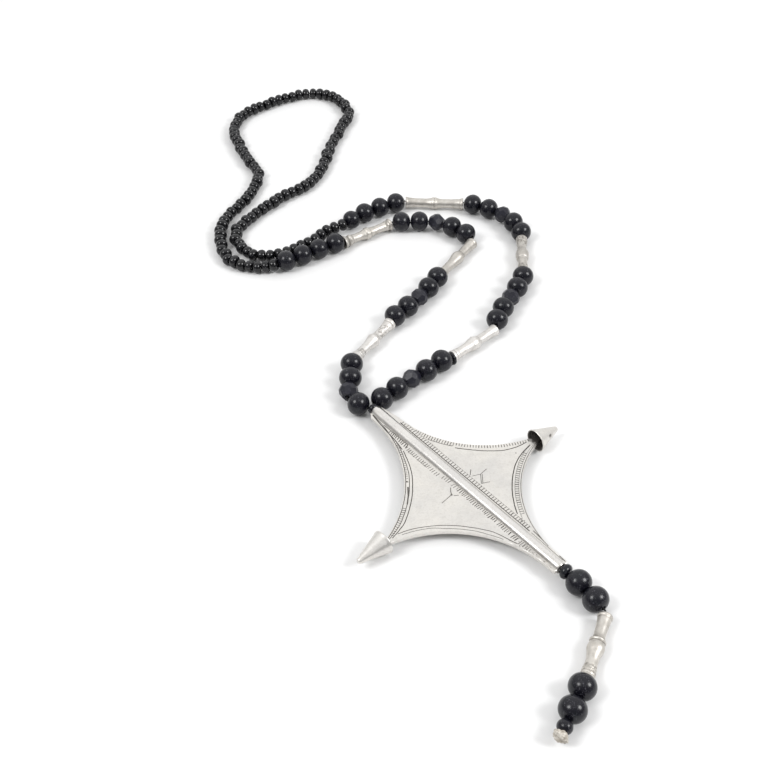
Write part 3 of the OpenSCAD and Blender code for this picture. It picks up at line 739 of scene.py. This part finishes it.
# Lines beside the ridge's ends. Each: points, half width, depth and how dark
FAR_FOOT_LINES = [
    ([(28.4, 3.4), (35.4, 2.85), (42.8, 2.35)], 0.14, 0.11, 0.85),
    ([(28.6, 2.45), (42.0, 2.12)], 0.11, 0.09, 0.7),
]
NEAR_TOP_LINES = [
    ([(-42.1, -2.3), (-37.6, -3.0), (-32.9, -3.6), (-27.8, -4.15), (-23.6, -5.0)], 0.16, 0.12, 0.95),
    ([(-36.2, -2.42), (-29.4, -2.25), (-24.0, -2.2)], 0.13, 0.10, 0.85),
]
NEAR_FOOT_LINES = [
    ([(26.3, -4.6), (28.9, -3.7)], 0.13, 0.10, 0.9),
    ([(26.7, -6.5), (30.5, -5.2), (35.5, -4.1), (39.0, -3.5), (42.6, -2.85)], 0.15, 0.11, 0.8),
    ([(32.5, -3.6), (37.4, -3.05), (41.9, -2.5)], 0.12, 0.10, 0.7),
]


def cut_edges(cut, rng):
    """Lines and rungs along the four concave edges."""
    for name, stations, half, depth, strength in EDGE_LINES:
        at, inwards = np.array(stations).T
        order = np.argsort(at)
        line = []
        for a in np.arange(at.min(), at.max(), math.degrees(0.9 / CUTS[name][2])):
            line.append(on_cut(name, a, np.interp(a, at[order], inwards[order]) + rng.uniform(-0.03, 0.03)))
        cut(line, half, depth, strength)
    for name, first, last, low, high, pitch, half in EDGE_RUNGS:
        _, cy, r = CUTS[name]
        for a in np.arange(min(first, last), max(first, last), math.degrees(pitch / r)):
            # a rung stops short of the ladder along the ridge
            room = (abs(cy) - 4.0) / math.cos(math.radians(a)) - r
            top = min(high, room)
            if top < low + 0.35:
                continue
            lean = math.degrees(rng.uniform(-0.07, 0.07) / r)
            cut([on_cut(name, a - lean, low), on_cut(name, a + lean, top)], half * rng.uniform(0.85, 1.1),
                0.10 * rng.uniform(0.75, 1.1), rng.uniform(0.65, 0.95))


def cut_far_ladder(cut, rng):
    """Ladder along the far side of the ridge: a strong lower line, a thin wavy upper one and rungs between."""
    pitch, last = 1.12, 27.2
    cut([(x, 2.46) for x in np.arange(-33.5, 28.5, 0.9)], 0.15, 0.12, 0.95)
    upper = [(x, 3.86 + 0.09 * math.sin(2 * math.pi * x / pitch)) for x in np.arange(-31.5, last, 0.28)]
    cut(upper, 0.07, 0.06, 0.6)
    x = -33.0
    while x < last:
        cut([(x, 2.7), (x + rng.uniform(-0.06, 0.06), 3.72)], 0.15 * rng.uniform(0.85, 1.1), 0.11,
            rng.uniform(0.75, 0.95))
        x += (pitch if x < 18 else 1.0) * rng.uniform(0.95, 1.05)
    for _ in range(7):
        x, y = rng.uniform(22.2, 24.0), rng.uniform(3.2, 4.3)
        cut([(x, y), (x + rng.uniform(-0.5, 0.5), y + rng.uniform(0.2, 0.5))], 0.09, 0.07, 0.7)
    for line in FAR_FOOT_LINES:
        cut(*line)


def cut_near_comb(cut, rng):
    """Comb of ticks along the near side of the ridge. Its upper stretch lies a little away from the ridge."""
    x = -23.2
    while x < 35.0:
        middle = 2.68 + 0.80 * min(1.0, max(0.0, (-4.0 - x) / 4.0))
        y0, y1 = middle - 0.62, middle + (0.85 if x > 28 else 0.62)
        fade = 1.0 if x < 31 else max(0.5, (37.0 - x) / 6.0)
        strong = 1.0 if x > 3 else 0.90
        if rng.random() < 0.92:
            cut([(x, -y0), (x + rng.uniform(-0.16, 0.22), -y1 + rng.uniform(-0.28, 0.20))],
                0.135 * rng.uniform(0.8, 1.25), 0.12 * fade, strong * fade * rng.uniform(0.75, 1.0))
        x += (0.92 if x < 1 else 0.78) * rng.uniform(0.88, 1.12)
    cut([(x, -4.15) for x in np.arange(-21.5, -12, 0.9)], 0.09, 0.08, 0.70)


def cut_near_ends(cut, rng):
    """Where the near side's lines run together, at both ends of the ridge, with jagged ticks between them."""
    for line in NEAR_TOP_LINES:
        cut(*line)
    x = -32.6
    while x < -23.6:
        cut([(x, -2.4), (x + rng.uniform(0.1, 0.5), -3.25 - 0.05 * (x + 33) + rng.uniform(-0.15, 0.15))],
            0.15 * rng.uniform(0.8, 1.2), 0.12, rng.uniform(0.8, 1.0))
        x += rng.uniform(0.75, 1.0)
    x = -29.5
    while x < -24.2:
        cut([(x, -4.3 - 0.13 * (x + 29)), (x + 0.15, -4.85 - 0.24 * (x + 29.5))], 0.11, 0.09, 0.75)
        x += rng.uniform(0.7, 0.9)
    for line in NEAR_FOOT_LINES:
        cut(*line)
    for _ in range(26):
        x = rng.uniform(28.0, 42.0)
        y = -rng.uniform(2.3, 5.6 - (x - 28) * 0.19)
        cut([(x, y), (x + rng.uniform(-0.2, 0.6), y + rng.uniform(-0.35, 0.15))], 0.11 * rng.uniform(0.8, 1.4),
            0.08, rng.uniform(0.4, 0.8))


def engraving():
    """All cuts of the graver on the plate's face, as polylines: (points, half width, depth, strength)."""
    rng = random.Random(SEED + 1)
    cuts = []

    def cut(points, half, depth, strength):
        cuts.append(([tuple(p) for p in points], half, depth, strength))

    for group in (cut_edges, cut_far_ladder, cut_near_comb, cut_near_ends):
        group(cut, rng)
    for a, b, half in STAR:
        cut([a, b], half, 0.09, 0.8)
    return cuts


def clipped(points, poly, step=0.25):
    """The stretches of a polyline that lie within a closed outline."""
    fine = [np.array(points[0])]
    for a, b in zip(points, points[1:]):
        a, b = np.array(a), np.array(b)
        n = max(1, int(math.ceil(np.linalg.norm(b - a) / step)))
        fine += [a + (b - a) * k / n for k in range(1, n + 1)]
    corner = {tuple(np.round(p, 6)) for p in points}
    runs, run = [], []
    for p in fine:
        if inside(poly, p):
            run.append(p)
            continue
        runs.append(run)
        run = []
    runs.append(run)
    out = []
    for run in runs:
        if len(run) > 1:
            ends = (0, len(run) - 1)
            out.append([q for i, q in enumerate(run) if i in ends or tuple(np.round(q, 6)) in corner])
    return out


def groove_field(points, segs):
    """Depth and strength of the engraving at each point: the deepest of the V-cuts that reach it."""
    p = np.asarray(points)
    depth, strength = np.zeros(len(p)), np.zeros(len(p))
    for a, b, half, dep, stg in segs:
        a, b = np.array(a), np.array(b)
        lo, hi = np.minimum(a, b) - half, np.maximum(a, b) + half
        near = np.where(((p > lo) & (p < hi)).all(1))[0]
        if not len(near):
            continue
        q = p[near]
        ab = b - a
        t = np.clip(((q - a) @ ab) / (ab @ ab), 0, 1)
        d = np.linalg.norm(q - a - t[:, None] * ab, axis=1)
        k = np.clip(1 - d / half, 0, 1)
        better = k * dep > depth[near]
        depth[near] = np.where(better, k * dep, depth[near])
        strength[near] = np.maximum(strength[near], np.where(k > 0.02, stg, 0))
    return depth, strength


def flat_triangles(outline, extra, edges):
    """Triangles within an outline that keep the extra points and edges, and where each point went."""
    n = len(outline)
    border = [(i, (i + 1) % n) for i in range(n)]
    points = [Vector(p) for p in [*outline, *extra]]
    verts, _, faces, came_from = geometry.delaunay_2d_cdt(points, border + edges, [list(range(n))], 1, 1e-5)[:4]
    return verts, faces, came_from


def plate_face():
    """Engraved top face: its points, triangles, how dark each is, and the points along its border."""
    full = plate_outline()
    outline = inset(full, FACE_INSET)
    extra, edges, segs = [], [], []

    def put(points, closed=False):
        k, n = len(outline) + len(extra), len(points)
        extra.extend(tuple(q) for q in points)
        edges.extend([(k + i, k + i + 1) for i in range(n - 1)])
        if closed:
            edges.append((k + n - 1, k))

    for line, half, depth, strength in engraving():
        for run in clipped(line, inset(full, FACE_INSET + half + 0.04)):
            p = np.array(run)
            t = np.gradient(p, axis=0)
            t = t / np.linalg.norm(t, axis=1)[:, None]
            n = np.c_[-t[:, 1], t[:, 0]]
            ends = t[0] * half * 0.8, t[-1] * half * 0.8
            put([p[0] - ends[0], *(p + n * half), p[-1] + ends[1], *(p - n * half)[::-1]], closed=True)
            put(p)
            segs += [(a, b, half, depth, strength) for a, b in zip(p, p[1:])]
    # a jittered grid lets the face between the cuts wave
    rng = random.Random(SEED + 2)
    core = inset(full, 0.7)
    grid = []
    (wide, high), (across, up) = GRID_REACH, GRID_STEP
    for row, y in enumerate(np.arange(-high, high, up)):
        for x in np.arange(-wide + (row % 2) * across / 2, wide, across):
            p = (x + rng.uniform(-GRID_JITTER, GRID_JITTER), y + rng.uniform(-GRID_JITTER, GRID_JITTER))
            if inside(core, p):
                grid.append(p)
    taken, _ = groove_field(grid, [(a, b, half + GRID_CLEAR, *rest) for a, b, half, *rest in segs])
    extra.extend([g for g, d in zip(grid, taken) if d <= 0])
    verts, faces, came_from = flat_triangles(outline, extra, edges)
    now_at = {i: k for k, group in enumerate(came_from) for i in group}
    v = np.array([(q.x, q.y) for q in verts])
    depth, _ = groove_field(v, segs)
    wave = 0.035 * np.sin(v[:, 0] * 0.31 + 1.0) * np.sin(v[:, 1] * 0.27)
    wave = wave + 0.02 * np.sin(v[:, 0] * 0.8 + v[:, 1] * 0.65)
    z = PLATE_HALF - depth + wave - 0.03
    edge = inset(full, -0.01)
    tris = [tuple(f) for f in faces if inside(edge, v[list(f)].mean(0))]
    _, dark = groove_field(np.array([v[list(f)].mean(0) for f in tris]), segs)
    return np.c_[v, z], tris, dark, [now_at[i] for i in range(len(outline))]


def painted_mouth_shade(y):
    """Painted shade on the plate at y, where its two tongues run into the cones and lie within them."""
    return HOLE_DARK * float(np.clip(max((y - 28.9) / 1.0, (-y - 33.4) / 0.8), 0, 1))


def foot_tarnish(x, y):
    """How dark the plate's near side is towards the foot."""
    if y >= 0:
        return 0.0
    return 0.27 * float(np.clip((x - 28) / 5, 0, 1)) * (0.75 + 0.25 * math.sin(2.6 * x + 1.9 * y))


def make_plate(mat):
    top, tris, dark, border = plate_face()
    full = plate_outline()
    verts, faces, shade = list(map(tuple, top)), [], []
    for f, d in zip(tris, dark):
        faces.append(f)
        x, y, _ = top[list(f)].mean(0)
        # each face's darkness: tarnish in the engraving and towards the foot, and painted shade where the
        # tongues run into the cones
        shade.append(max(d, foot_tarnish(x, y), painted_mouth_shade(y)))
    # the face's border follows its outline in order, then the bevel, wall and back
    n, h = len(full), PLATE_HALF
    chain = [border]
    for d, z in ((0.03, h - 0.08), (0.0, h - 0.18), (0.0, -h + 0.18), (0.03, -h + 0.05), (FACE_INSET, -h)):
        k = len(verts)
        verts.extend([(p[0], p[1], z) for p in inset(full, d)])
        chain.append(list(range(k, k + n)))
    # the bevel, wall and back carry only the painted shade where the tongues run into the cones
    for a, b in zip(chain, chain[1:]):
        for i in range(n):
            j = (i + 1) % n
            faces.append((a[i], b[i], b[j], a[j]))
            shade.append(painted_mouth_shade(full[i][1]))
    _, back_faces, came_from = flat_triangles([verts[i][:2] for i in chain[-1]], [], [])
    back = [chain[-1][group[0]] for group in came_from]
    for f in back_faces:
        faces.append(tuple(back[i] for i in f)[::-1])
        shade.append(painted_mouth_shade(np.mean([verts[back[i]][1] for i in f])))
    plate = make_object("pendant_plate", to_world(verts), faces, mat, shade, "FACE", 14)
    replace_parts(plate, "pendant")


def make_ridge(mat):
    """The ridge tube, with clouds of tarnish, painted shade on its flanks, and darker still on the near flank
    at both ends.
    """
    chamfer = 0.12
    xs = np.linspace(-RIDGE_HALF, RIDGE_HALF, 60)
    rad = RIDGE_TOP + (RIDGE_FOOT - RIDGE_TOP) * (xs + RIDGE_HALF) / (2 * RIDGE_HALF)
    xs = np.concatenate([[xs[0], xs[0] + chamfer], xs[1:-1], [xs[-1] - chamfer, xs[-1]]])
    crown, foot = [rad[0] - chamfer, RIDGE_TOP - 0.02], [RIDGE_FOOT - 0.02, rad[-1] - chamfer]
    rad = np.concatenate([crown, rad[1:-1], foot])
    hole = [(x, RIDGE_BORE) for x in (RIDGE_HALF, RIDGE_HALF - 1.5, -RIDGE_HALF + 1.5, -RIDGE_HALF)]
    turn = turns(RIDGE_SIDES)
    cloud = np.clip((flecks(xs + 44, turn, np.random.default_rng(SEED + 3), 1.5, 14) - 0.4) / 0.4, 0, 1)
    ends = np.clip((np.abs(xs) - 30) / 6, 0, 1)[:, None] * np.clip(-np.cos(turn), 0, 1)[None] ** 0.5
    # painted shade: both flanks are darkened, leaving a bright stripe along the top
    painted_flank_shade = np.clip((np.abs(np.cos(turn)) - 0.30) / 0.45, 0, 1)[None] * (0.55 + 0.45 * cloud)
    tarnish_and_painted_shade = 0.04 * cloud + 0.20 * painted_flank_shade + 0.26 * ends * (0.45 + 0.55 * cloud)
    shell = Shell()
    shell.revolve((0, 0, 0), (1, 0, 0), [*zip(xs, rad), *hole], RIDGE_SIDES)
    shade = np.concatenate([tarnish_and_painted_shade.ravel(), np.full(len(hole) * RIDGE_SIDES, HOLE_DARK)])
    make_object("pendant_ridge", to_world(shell.v), shell.f, mat, shade, sharp=40)


DENT_AT, DENT_TURN, DENT_REACH, DENT_DEPTH = 4.75, 153, 0.95, 0.50


def dent_cone(shell, count, origin, direction):
    """A small old dent in the outer skin of the shell's first cone, dark in the middle."""
    t, n, b = basis(direction)
    a = math.radians(DENT_TURN)
    out = math.cos(a) * n + math.sin(a) * b
    for i in range(count):
        q = np.array(shell.v[i]) - origin
        r = np.linalg.norm(q - (q @ t) * t)
        if r < 0.3:
            continue
        away = math.hypot(q @ t - DENT_AT, r * math.acos(max(-1.0, min(1.0, (q @ out) / r))))
        k = max(0.0, 1 - away / DENT_REACH)
        k = k * k * (3 - 2 * k)
        shell.v[i] = (np.array(shell.v[i]) - (q - (q @ t) * t) / r * DENT_DEPTH * k).tolist()
        shell.p[i] = max(shell.p[i], min(1.0, 1.3 * k))


def make_cones(mat):
    """The two cone caps: a smooth skin with a rounded lip and tip, and a dark hollow with turned ribs."""
    shell = Shell()
    for x0, y0, x1, y1, depth in CONES:
        length = math.hypot(x1 - x0, y1 - y0)
        slope = (CONE_RADIUS - CONE_TIP) / length
        outer = [(0.0, 3.72), (0.0, 3.88), (0.10, 3.97), (0.30, 3.95)]
        outer += [(t, CONE_RADIUS - slope * t - 0.02) for t in np.linspace(0.6, length - 0.9, 14)]
        outer += [(length - 0.5, 0.95), (length - 0.22, 0.80), (length - 0.06, 0.55), (length, 0.25)]
        inner = []
        for t in np.arange(0.0, depth, 0.12):
            rib = RIB_DEPTH * math.cos(2 * math.pi * t / RIB_PITCH)
            inner.append((t + 0.06, CONE_RADIUS - CONE_WALL - slope * t + rib))
        shade = [0.0] * len(outer) + [CONE_DARK] * len(inner)
        k = len(shell.v)
        origin, direction = (x0, y0, 0), (x1 - x0, y1 - y0, 0)
        shell.revolve(origin, direction, outer[::-1] + inner, CONE_SIDES, shade, closed=False)
        if k == 0:
            dent_cone(shell, len(outer) * CONE_SIDES, origin, direction)
        # the tip and the bottom of the hollow are closed
        shell.f.append(tuple(range(k, k + CONE_SIDES)))
        shell.f.append(tuple(range(len(shell.v) - CONE_SIDES, len(shell.v)))[::-1])
    make_object("pendant_cones", to_world(shell.v), shell.f, mat, shell.p, sharp=40)


# ---------------------------------------------------------------- knot
KNOT_HEADING = -126
KNOT_HALF = (1.2, 2.15, 2.1)


def make_knot(mat):
    """A lump of knotted thread with twisted strands, kept within the source's knot."""
    low, high = np.array(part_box("knot")) / MM
    ph = np.random.default_rng(SEED + 4).uniform(0, 6.28, 8)
    bm = bmesh.new()
    bmesh.ops.create_icosphere(bm, subdivisions=5, radius=1.0)
    for v in bm.verts:
        x, y, z = v.co
        k = 1 + 0.13 * math.sin(3.4 * x + ph[0]) * math.sin(4.2 * y + ph[1])
        k += 0.08 * math.sin(7 * z + ph[2]) * math.cos(6 * x + ph[3])
        k += 0.05 * math.sin(11 * y + ph[5]) * math.sin(9 * z + ph[6])
        k += 0.05 * math.sin(22 * (0.6 * y + 0.8 * z + 0.35 * math.sin(3 * x + ph[4])))
        blunt = math.copysign(abs(x) ** 0.7, x)
        v.co = (KNOT_HALF[0] * blunt * k, KNOT_HALF[1] * y * k, KNOT_HALF[2] * z * k)
    m = Matrix.Rotation(math.radians(KNOT_HEADING), 4, "Z")
    m.translation = Vector((low + high) / 2)
    bm.transform(m)
    verts = np.clip([tuple(v.co) for v in bm.verts], low, high)
    faces = [tuple(v.index for v in f.verts) for f in bm.faces]
    bm.free()
    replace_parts(make_object("thread_knot", verts, faces, mat), "knot")


# ---------------------------------------------------------------- all together
make_camera()
bead_black = black_stone("polished_black_stone", (0.19, 0.27), (0.003, 0.003, 0.006), (0.006, 0.006, 0.010),
                         (0.006, 0.008, 0.010), 0.00003)
facet_black = black_stone("faceted_black_glass", (0.26, 0.40), (0.008, 0.008, 0.013), (0.015, 0.015, 0.023),
                          (0.014, 0.016, 0.019), 0.00008)
seed_black = black_stone("black_seed_glass", (0.06, 0.13), (0.002, 0.002, 0.003), (0.004, 0.004, 0.005),
                         (0.005, 0.005, 0.005), 0.00001, ior=1.47)
tube_silver = silver("worn_silver_tube", 0.37, (0.68, 0.65, 0.60), (0.58, 0.56, 0.53),
                     (0.10, 0.09, 0.075), 0.42)
bright_silver = silver("bright_silver_tube", 0.38, (0.80, 0.775, 0.745), (0.71, 0.695, 0.675),
                       (0.16, 0.145, 0.125), 0.20)
# the ridge's dark colour serves both its tarnish and the painted shade on its flanks
ridge_silver = silver("burnished_silver_ridge", 0.15, (0.79, 0.77, 0.735), (0.70, 0.685, 0.67),
                      (0.16, 0.145, 0.125), 0.05)
# the pendant's dark colour serves the tarnish in its engraving and the painted shade where the tongues run into
# the cones
pendant_silver = silver("worn_silver_pendant", 0.30, (0.785, 0.76, 0.715), (0.69, 0.675, 0.65),
                        (0.055, 0.048, 0.042), 0.12)
thread_black = fibre("black_beading_thread", (0.006, 0.006, 0.006), (0.03, 0.03, 0.03), 2500.0)
knot_fibre = fibre("pale_knot_fibre", (0.22, 0.18, 0.135), (0.78, 0.75, 0.69), 900.0)
make_stage()

node_mats = {
    "pendant": pendant_silver, "faceted_beads": facet_black, "thread": thread_black, "knot": knot_fibre,
}
for name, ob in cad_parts.items():
    mat = tube_silver if name.startswith("silver_tube") else node_mats.get(name, bead_black)
    ob.data.materials.clear()
    ob.data.materials.append(mat)

make_seeds(seed_black, thread_black)
for i, row in enumerate(TUBES):
    make_tube(bright_silver if row[0] in BRIGHT_TUBES else tube_silver, row, SEED + 10 + i)
make_plate(pendant_silver)
make_ridge(ridge_silver)
make_cones(pendant_silver)
make_knot(knot_fibre)
